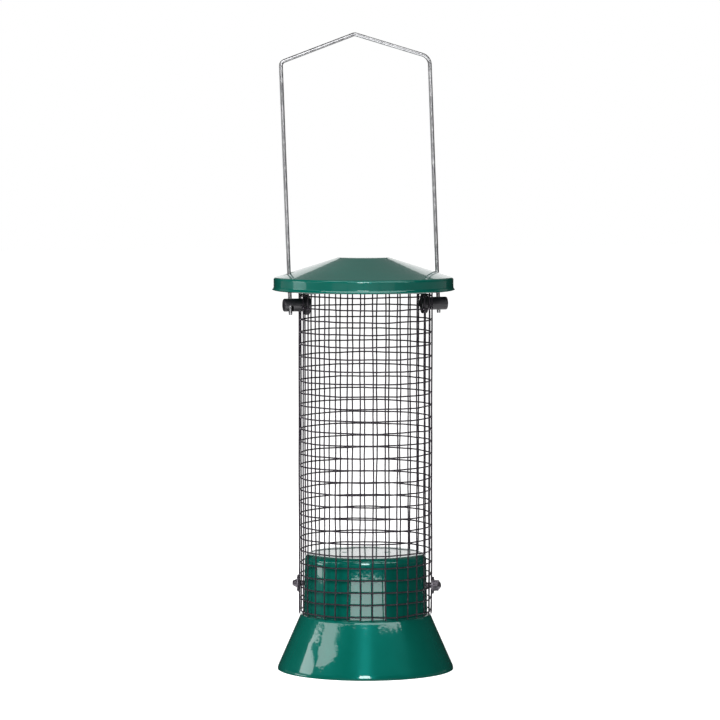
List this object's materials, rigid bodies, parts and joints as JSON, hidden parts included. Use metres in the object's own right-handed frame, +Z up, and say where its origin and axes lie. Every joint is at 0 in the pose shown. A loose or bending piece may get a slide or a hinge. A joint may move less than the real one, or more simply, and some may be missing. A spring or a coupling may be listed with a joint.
{
  "type": "hanging bird feeder",
  "caption": "Hanging bird feeder: wire-mesh seed tube on a flared steel base, with a lid that slides up a wire bail handle.",
  "frame": {"origin": "centre of the base's bottom rim, on the mesh tube's axis; the lid sits about 1 mm towards -X of it", "axes": "+Z up along the mesh tube; X along the line of the two pivot posts, in the bail's plane; the left post is on -X and the bail's top leans 2.2 degrees towards -X"},
  "size_m": [0.0958, 0.0958, 0.3325],
  "materials": {
    "green_paint": "gloss",
    "galvanised_wire": "galvanised, semi-gloss",
    "black_plastic": "moulded satin",
    "coated_mesh_wire": "satin coating",
    "dark_hardware": "blackened steel"
  },
  "bodies": {
    "feeder": {"base": "green_paint", "mesh_upright_wires": "coated_mesh_wire", "base_bolt": "dark_hardware", "head_washer": "dark_hardware", "nut_washer": "dark_hardware", "cap_nut": "dark_hardware", "mesh_hoop_01": "coated_mesh_wire", "mesh_hoop_02": "coated_mesh_wire", "mesh_hoop_03": "coated_mesh_wire", "mesh_hoop_04": "coated_mesh_wire", "mesh_hoop_05": "coated_mesh_wire", "mesh_hoop_06": "coated_mesh_wire", "mesh_hoop_07": "coated_mesh_wire", "mesh_hoop_08": "coated_mesh_wire", "mesh_hoop_09": "coated_mesh_wire", "mesh_hoop_10": "coated_mesh_wire", "mesh_hoop_11": "coated_mesh_wire", "mesh_hoop_12": "coated_mesh_wire", "mesh_hoop_13": "coated_mesh_wire", "mesh_hoop_14": "coated_mesh_wire", "mesh_hoop_15": "coated_mesh_wire", "mesh_hoop_16": "coated_mesh_wire", "mesh_hoop_17": "coated_mesh_wire", "mesh_hoop_18": "coated_mesh_wire", "mesh_hoop_19": "coated_mesh_wire", "mesh_hoop_20": "coated_mesh_wire", "mesh_hoop_21": "coated_mesh_wire", "mesh_hoop_22": "coated_mesh_wire", "mesh_hoop_23": "coated_mesh_wire", "mesh_hoop_24": "coated_mesh_wire", "mesh_hoop_25": "coated_mesh_wire", "mesh_hoop_26": "coated_mesh_wire", "mesh_hoop_27": "coated_mesh_wire", "mesh_hoop_28": "coated_mesh_wire"},
    "bail": {"bail_handle": "galvanised_wire", "left_pivot_post": "black_plastic", "right_pivot_post": "black_plastic"},
    "lid": {"lid": "green_paint"}
  },
  "joints": [
    {"name": "bail_rock", "type": "hinge", "parent": "feeder", "child": "bail", "pos_m": [0, 0, 0.19125], "axis": [1, 0, 0], "range_deg": [-1.5, 1.5]},
    {"name": "lid_lift", "type": "slide", "parent": "bail", "child": "lid", "axis": [-0.0384, 0, 0.9993], "range_m": [0, 0.104]}
  ]
}
